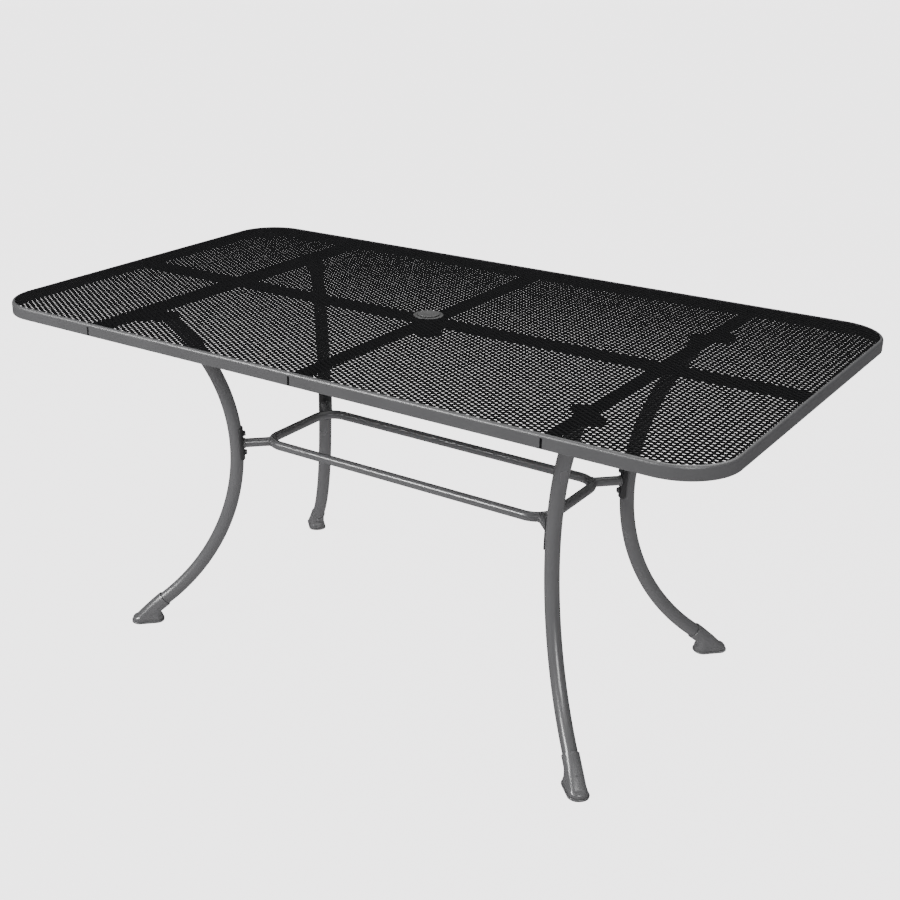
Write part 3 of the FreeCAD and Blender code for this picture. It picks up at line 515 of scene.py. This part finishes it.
def on_leg(turn, radius, side, slide=0.0):
    """Points round the bent tube: turn is the place on the bend (0 at its middle, positive up),
    radius the distance from the tube's axis, side the angle round it from the side that looks
    at the middle of the table, slide a length further down a straight tail."""
    turn, radius, side, slide = np.broadcast_arrays(turn, radius, side, slide)
    out = leg_bend + radius * np.cos(side)
    along = leg_bend - out * np.cos(turn) - slide * np.sin(turn)
    height = leg_middle + out * np.sin(turn) - slide * np.cos(turn)
    return np.stack([along, radius * np.sin(side), height], axis=-1)


around = np.linspace(0, 2 * math.pi, 32, endpoint=False)[None, :]
tail = on_leg(-foot_turn, leg_radius, around, np.array([[59.0], [30.0], [2.0]]) * mm)
bow = on_leg(np.linspace(-foot_turn, head_turn, 72)[:, None], leg_radius, around)
head = bow[-1:].copy()
rise = leg_top - head[..., 2]
head[..., 0] += rise * math.tan(head_turn)
head[..., 2] = leg_top
leg_points = np.concatenate([tail, bow, head])
legs = surface("leg_tubes", four([(leg_points, False, True, True)]))
# Dark grey with a narrow light streak along each tube and darker bands beside it.
tube_coat = powder_coat("satin graphite powder coat on drawn tube", "#3d3d3e", 0.26, 1.5, 2.0, 0.004)
dress(legs, tube_coat, "legs")


def bead(line, outward, radius, ripples):
    """Weld bead along a closed line: a round cord of small scales, half of it sunk in the seam.
    The cord's radius swells and shrinks by a sixth, once per scale; ripples is their number."""
    ahead = np.roll(line, -1, axis=0) - np.roll(line, 1, axis=0)
    ahead /= np.linalg.norm(ahead, axis=1)[:, None]
    outward = outward - ahead * (outward * ahead).sum(axis=1)[:, None]
    outward /= np.linalg.norm(outward, axis=1)[:, None]
    side = np.cross(outward, ahead)
    turn = np.linspace(0, 2 * math.pi, 8, endpoint=False)
    swell = 0.16 * np.sin(np.linspace(0, 2 * math.pi * ripples, len(line), endpoint=False))
    beat = radius * (1 + swell)
    offset = np.cos(turn)[None, :, None] * outward[:, None] + np.sin(turn)[None, :, None] * side[:, None]
    return line[:, None] + beat[:, None, None] * offset


seam_turn = np.linspace(0, 2 * math.pi, 96, endpoint=False)
seam_axis = on_leg(head_turn, 0.0, 0.0)
seam_axis[0] += (leg_top - seam_axis[2]) * math.tan(head_turn)
seam_axis[2] = leg_top - 0.8 * mm
seam_out = np.stack([np.cos(seam_turn), np.sin(seam_turn), 0 * seam_turn], axis=1)
seam_line = seam_axis + leg_radius * seam_out * np.array([1 / math.cos(head_turn), 1, 1])
head_bead = bead(seam_line, seam_out, 1.8 * mm, 24)
head_beads = surface("leg_head_welds", four([(head_bead, True, True, False)]))
dress(head_beads, tube_coat, "legs")

# Shoes
# Moulded plastic shoes: a sleeve round the tail of the leg, cut off by the floor, a web
# and a rounded heel under it, and a thin lip round the sole.

# All in mm in the leg's own plane. tail_start is where the bow ends and tail_way runs down the
# tail; the shoe starts 12 mm further down.
tail_start = np.array([166.419, 0, 58.789])
tail_way = np.array([math.sin(foot_turn), 0, -math.cos(foot_turn)])
collar_middle = tail_start + 12.0 * tail_way
collar_up = np.array([-tail_way[2], 0, tail_way[0]])
leg_side = np.array([0, 1, 0])
lip_height = 4.0
sleeve_radius = 17.5
toe, toe_nose, toe_slope = 250, 5, 1.09
sole_start, sole_half, sole_corner = 182, 18.0, 16
web_start, web_half, web_corner = 187, 17.2, 9
heel_height = 12.5


def plan_depth(x, y, start, end, half, corner):
    """Signed distance in the floor plane to a rounded rectangle from start to end, in mm."""
    away_x = abs(x - (start + end) / 2) - (end - start) / 2 + corner
    away_y = abs(y) - half + corner
    beyond = np.hypot(np.maximum(away_x, 0), np.maximum(away_y, 0))
    return beyond + np.minimum(np.maximum(away_x, away_y), 0) - corner


def blend(a, b, reach):
    """Smaller of two signed distances with a rounded transition of the given reach."""
    near = np.clip(0.5 + 0.5 * (b - a) / reach, 0, 1)
    return b + (a - b) * near - reach * near * (1 - near)


def shoe_depth(p):
    """Signed distance to the shoe above its lip, in mm: an inclined round bar, slanted off at
    the toe and cut by its outline, joined softly to a web below its axis and to a heel block."""
    x, y, z = np.moveaxis(p, -1, 0)
    from_start = p - tail_start
    along = (from_start * tail_way).sum(axis=-1)
    from_axis = np.sqrt(np.maximum((from_start ** 2).sum(axis=-1) - along ** 2, 0))
    slant = ((z - toe_nose) - toe_slope * (toe - x)) / math.hypot(1, toe_slope)
    bar = -blend(sleeve_radius - from_axis, -slant, 8.0)
    bar = -blend(-bar, -plan_depth(x, y, 90, toe, sole_half, sole_corner), 3.0)
    axis_height = tail_start[2] + (x - tail_start[0]) * tail_way[2] / tail_way[0]
    web = np.maximum(plan_depth(x, y, web_start, toe - 1, web_half, web_corner), z - axis_height)
    heel = -blend(-plan_depth(x, y, sole_start, toe, sole_half, sole_corner), heel_height - z, 4.0)
    return blend(bar, blend(web, heel, 5.0), 1.5)


# The skin's rows lie in planes that fan out from the collar to the sole about a pivot behind
# the heel. In each plane, rays from the middle stop where the distance turns positive.
shoe_side = np.linspace(0, 2 * math.pi, 56, endpoint=False)[:, None]
pivot_drop = (collar_middle[2] - lip_height) / tail_way[0]
pivot = collar_middle - pivot_drop * collar_up
sole_reach = 80
ray_step = 0.25
reach = np.arange(1, 60, ray_step)
fan = foot_turn * (1 - np.linspace(0, 1, 34) ** 0.9)
fan_rows = []
for lean in fan:
    share = 1 - lean / fan[0]
    ahead = np.array([math.cos(lean), 0, math.sin(lean)])
    middle = pivot + (pivot_drop + share * (sole_reach - pivot_drop)) * ahead
    rays = np.cos(shoe_side) * ahead + np.sin(shoe_side) * leg_side
    depth = shoe_depth(middle + rays[:, None] * reach[None, :, None])
    first = np.argmax(depth > 0, axis=1)
    here = depth[np.arange(len(rays)), first]
    before = depth[np.arange(len(rays)), first - 1]
    length = reach[first] - ray_step * here / (here - before)
    fan_rows.append(middle + rays * length[:, None])
outline = fan_rows[-1]
ahead = np.roll(outline, -1, axis=0) - np.roll(outline, 1, axis=0)
normal = np.stack([ahead[:, 1], -ahead[:, 0], 0 * ahead[:, 0]], axis=1)
normal /= np.linalg.norm(normal, axis=1)[:, None]
lip_rows = []
for proud, height in ((1.9, 4.0), (2.3, 3.6), (2.4, 3.0), (2.4, 0.6), (2.2, 0.2), (1.7, 0.0)):
    lip_rows.append(outline + proud * normal + np.array([0, 0, height - lip_height]))
collar_rays = np.cos(shoe_side) * collar_up + np.sin(shoe_side) * leg_side
collar_rows = []
for radius, down in ((15.1, 20.0), (15.1, 0.3), (15.4, 0.0), (17.0, 0.0), (17.4, 0.3)):
    collar_rows.append(collar_middle + radius * collar_rays + down * tail_way)
shoe_points = np.array(collar_rows + fan_rows[1:] + lip_rows) * mm
shoes = surface("shoes", four([(shoe_points, False, True, True)]), 50)
# As dark as the tube but smoother: a sharper streak down the sleeve, a soft side.
shoe_skin = moulded("moulded graphite nylon", "#3f3f40", 0.27)
dress(shoes, shoe_skin, "foot_shoes")

# Stretcher
# Round steel tube, 20 by 1.5 mm, bent to a rounded rectangle, and four short tubes from
# its corners, coped and welded at both ends and held to the legs by saddle plates.

ring_height = 418 * mm
ring_radius = 10 * mm
ring_half = np.array([347.5, 114.5]) * mm
ring_corner = 45 * mm
ring_along = -80 * mm
lean_at_ring = math.asin((ring_height - leg_middle) / leg_bend)
ring_path, ring_out = round_path(ring_half, ring_corner, (), 20)
ring_turn = np.linspace(0, 2 * math.pi, 28, endpoint=False)
ring_points = np.empty((len(ring_path), len(ring_turn), 3))
ring_reach = ring_radius * np.cos(ring_turn)[:, None]
ring_points[:, :, :2] = ring_path[:, None] + ring_reach * ring_out[:, None]
ring_points[:, :, 2] = ring_height + ring_radius * np.sin(ring_turn)
ring = surface("ring_tube", [grid(ring_points, True, True)])
dress(ring, tube_coat, "stretcher_ring")

# In the leg's own plane each stub runs from the ring's corner, 80 mm before the leg, to the
# outside of the saddle plate, and one or two hundredths of its length past both, into the welds.
saddle_out = 18.2 * mm
stub_turn = np.linspace(0, 2 * math.pi, 64, endpoint=False)
across = ring_radius * np.cos(stub_turn)
above = ring_radius * np.sin(stub_turn)
ring_end = ring_along + np.sqrt(np.maximum(ring_radius ** 2 - above ** 2, 0))
leg_end = above * math.tan(lean_at_ring) - np.sqrt(saddle_out ** 2 - across ** 2)
stub_rows = []
for share in (1.01, 1.0, 0.5, 0.0, -0.02):
    along = ring_end + share * (leg_end - ring_end)
    stub_rows.append(np.stack([along, across, ring_height + above], axis=1))
stub_points = np.array(stub_rows)
stubs = surface("stub_tubes", four([(stub_points, False, True, True)]))
dress(stubs, tube_coat, "stretcher_stubs")
stub_out = np.stack([0 * across, across, above], axis=1)
leg_bead = bead(stub_points[1], stub_out, 1.7 * mm, 16)
ring_bead = bead(stub_points[3], stub_out, 1.7 * mm, 16)
stub_bead_shapes = [(ring_bead, True, True, False), (leg_bead, True, True, False)]
stub_beads = surface("stub_welds", four(stub_bead_shapes))
dress(stub_beads, tube_coat, "stretcher_stubs")

# Saddle plates
# Steel plate 3 mm thick, pressed round a third of the leg tube and bolted to it above and
# below the stub. Its corners are clipped round and its edges are softened by the coat.

# Towards its two edges the plate gets shorter by what a round corner of 5 mm takes off.
saddle_reach = 60
plate_half = 36 * mm
inside = np.linspace(-57, 57, 25)
saddle_side = np.radians(np.concatenate([[-saddle_reach, -59.2], inside, [59.2, saddle_reach]]))
edge_place = (math.radians(saddle_reach) - abs(saddle_side)) * saddle_out
corner_cut = 5 * mm
into = np.maximum(corner_cut - edge_place, 0)
short = corner_cut - np.sqrt(np.maximum(corner_cut ** 2 - into ** 2, 0))
# Section along the leg as (radius from the tube's axis, height from the plate's middle), in mm.
plate_profile = ((17.9, -35.8), (17.4, -36), (16.0, -36), (15.2, -35.6), (15.2, 35.6), (16.0, 36),
                 (17.4, 36), (17.9, 35.8), (18.2, 35.2), (18.2, -35.2))
plate_radius, plate_rise = (np.array(plate_profile) * mm).T
plate_rise = plate_rise[None, :] * (1 - short[:, None] / plate_half)
plate_turn = lean_at_ring + plate_rise / leg_bend
plate_points = on_leg(plate_turn, plate_radius[None, :], saddle_side[:, None])
plates = surface("saddles", four([(plate_points, False, True, True)]), 40)
# Painted shade: the plate is coloured a shade darker than the leg behind it, standing in for the shadow on
# the plate and its edge, so that they stand out.
plate_coat_painted_shade = powder_coat("satin graphite powder coat on pressed plate", "#202021", 0.4, 1.45, 1.5, 0.01)
dress(plates, plate_coat_painted_shade, "saddle_plates")

# Screws, bolts and nuts
# M6 hexagon screws, zinc-plated and coated over: two in each saddle plate, and two with
# nuts through the plates at each leg head. Heads are 10 mm over flats, with turned corners.

screw_steps = 36
screw_side = np.linspace(0, 2 * math.pi, screw_steps, endpoint=False)
flats_half = 5 * mm
hexagon = flats_half / np.cos((screw_side + math.pi / 6) % (math.pi / 3) - math.pi / 6)
shank_radius = 3.0 * mm
head_height = 4.0 * mm
head_crown = 4.6 * mm
nut_height = 5 * mm
nut_crown = 4.7 * mm
nut_bore = 3.1 * mm
crown_fall = 0.58


def hexagon_rows(low, high, crown):
    """Rows of a hexagon block from high to low, its upper corners turned off to a crown radius,
    one millimetre out for every 0.58 down."""
    rows = []
    for height in (high, high - 0.29 * mm, high - 0.58 * mm, high - 0.87 * mm, low):
        limit = crown + (high - height) / crown_fall
        rows.append((np.minimum(hexagon, limit), height))
    return rows


def screw_points(rows, origin, up):
    """Grid of a turned or hexagon piece: rows of (radius, height) about an axis through origin.
    up is the axis in the plane of a leg."""
    up = np.array(up, float)
    cosine, sine = np.cos(screw_side), np.sin(screw_side)
    turned_out = np.stack([cosine * up[2], sine, -cosine * up[0]], axis=1)
    radius = np.array([size * np.ones(screw_steps) for size, height in rows])
    height = np.array([height * np.ones(screw_steps) for size, height in rows])
    return origin + radius[..., None] * turned_out + height[..., None] * up


def thread_rows(start, end):
    """Rows of a metric thread from start down to end, in mm: the radius swings 0.15 mm to either
    side of 2.85 mm once per millimetre, and the swing runs round as a helix. The last row is
    the chamfered tip."""
    heights = np.arange(start, end, -0.25)
    rows = [(2.85 + 0.15 * np.cos(2 * math.pi * height - screw_side), height) for height in heights]
    return [(radius * mm, height * mm) for radius, height in rows + [(2.3, end)]]


bolt_rise = 22 * mm
bolt_shapes = []
for rise in (bolt_rise, -bolt_rise):
    turn = lean_at_ring + rise / (leg_bend + saddle_out)
    place = on_leg(turn, saddle_out, 0.0)
    up = (-math.cos(turn), 0, math.sin(turn))
    rows = [(shank_radius, head_height)] + hexagon_rows(0.6 * mm, head_height, head_crown)
    washer_rows = ((6.2, 0.6), (6.5, 0.3), (6.5, -1.0), (3.0, -1.0), (3.0, -6.0))
    rows += [(radius * mm, height * mm) for radius, height in washer_rows]
    bolt_shapes.append((screw_points(rows, place, up), False, True, True))
# Dark heads with small hard glints on their flats and corners.
steel = powder_coat("zinc-plated steel under a thin coat", "#1d1e1f", 0.3, 1.45, 1.0, 0.004)
dress(surface("saddle_bolt_heads", four(bolt_shapes), 25), steel, "saddle_bolts")

# Places of the leg heads' screws in the leg's own plane, in mm. The heads sit on the upper
# plate, the nuts hang under the lower one with their turned corners down.
upper_plate, lower_plate = 716, 710
screw_shapes = []
nut_shapes = []
for along, sideways in ((180, -10), (156, 12)):
    place = np.array([along, sideways, upper_plate]) * mm
    rows = [(shank_radius, head_height)] + hexagon_rows(0.0, head_height, head_crown)
    rows += [(shank_radius, 0.0)] + thread_rows(-5.0, -14.0)
    screw_shapes.append((screw_points(rows, place, (0, 0, 1)), False, True, True))
    place = np.array([along, sideways, lower_plate]) * mm
    block = hexagon_rows(-nut_height, 0.0, nut_crown)[::-1]
    rows = [(nut_bore, 0.0)] + [(radius, -nut_height - height) for radius, height in block]
    rows += [(nut_bore, -nut_height)]
    nut_shapes.append((screw_points(rows, place, (0, 0, 1)), True, True, False))
dress(surface("leg_head_screws", four(screw_shapes), 25), steel, "leg_screws")
dress(surface("leg_head_nuts", four(nut_shapes), 25), steel, "leg_nuts")
